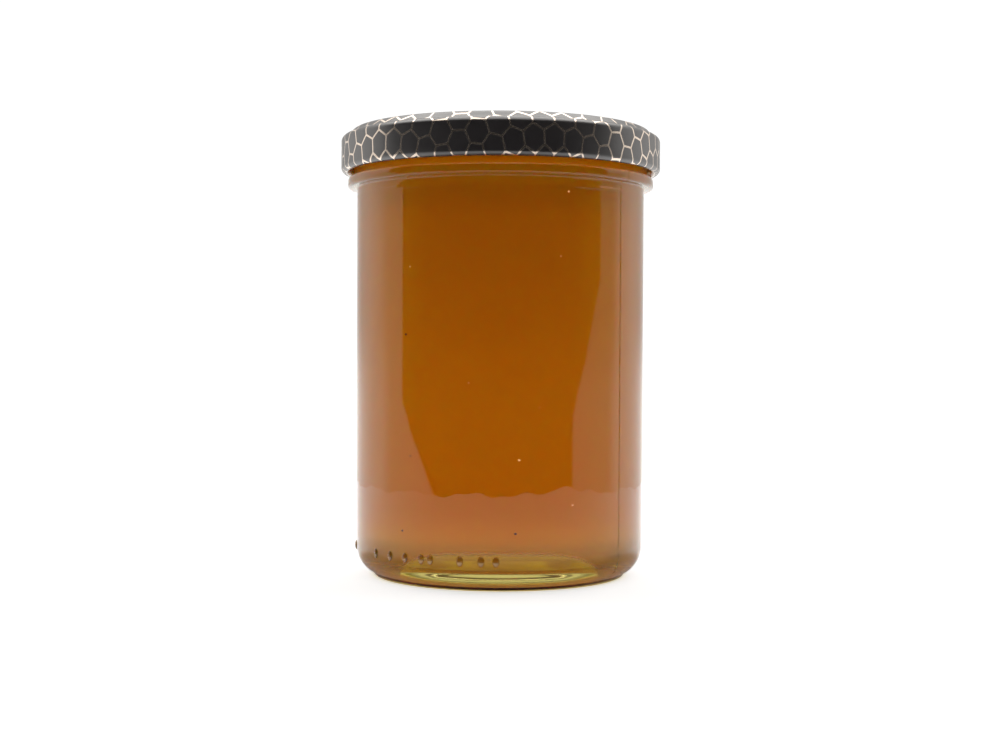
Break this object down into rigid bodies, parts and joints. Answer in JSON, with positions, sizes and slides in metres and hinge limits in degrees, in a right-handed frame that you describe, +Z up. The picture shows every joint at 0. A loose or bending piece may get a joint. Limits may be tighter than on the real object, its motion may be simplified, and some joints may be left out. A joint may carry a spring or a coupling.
{
  "type": "honey jar",
  "caption": "Straight-sided clear glass jar filled with amber honey, shut with a low twist-off metal cap printed with a honeycomb pattern.",
  "frame": {"origin": "centre of the jar's foot, on the plane that the bearing ring stands on", "axes": "+Z up along the jar's axis; -Y is the side the camera of the picture looks at, with the row of moulded dots low on it"},
  "size_m": [0.0856, 0.0856, 0.1187],
  "materials": {
    "clear_glass": "smooth clear flint glass, fully polished, with fine mould lines and a row of moulded dots on the heel",
    "amber_honey": "clear liquid amber honey with a few tiny bubbles, seen through the glass",
    "black_cap": "satin black lacquer on tinplate with a thin gold and cream honeycomb line print"
  },
  "bodies": {
    "root": {"jar": "clear_glass", "honey": "amber_honey", "lid": "black_cap"}
  },
  "joints": []
}
